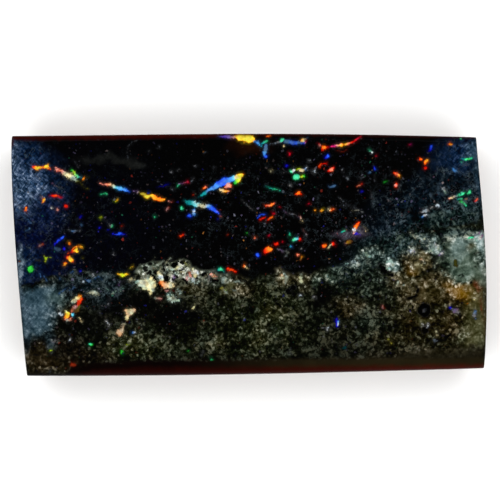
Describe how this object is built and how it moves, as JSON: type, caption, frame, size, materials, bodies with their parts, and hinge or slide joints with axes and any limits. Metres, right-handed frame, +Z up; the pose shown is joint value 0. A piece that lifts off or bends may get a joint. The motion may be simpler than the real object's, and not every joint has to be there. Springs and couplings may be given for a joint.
{
  "type": "rough boulder opal",
  "caption": "Sawn slab of boulder opal: polished black face with specks of play of colour, sandy matrix, a rolled ironstone rim, rough walls and a flat ground back.",
  "frame": {"origin": "middle of the stone's footprint, on its flat ground base", "axes": "+Z up out of the polished face, +X along the stone, +Y towards its back long side, away from the wide rolled ironstone rim"},
  "size_m": [0.0474, 0.0242, 0.008],
  "materials": {
    "boulder_opal": "polished"
  },
  "bodies": {
    "root": {"boulder_opal": "boulder_opal"}
  },
  "joints": []
}
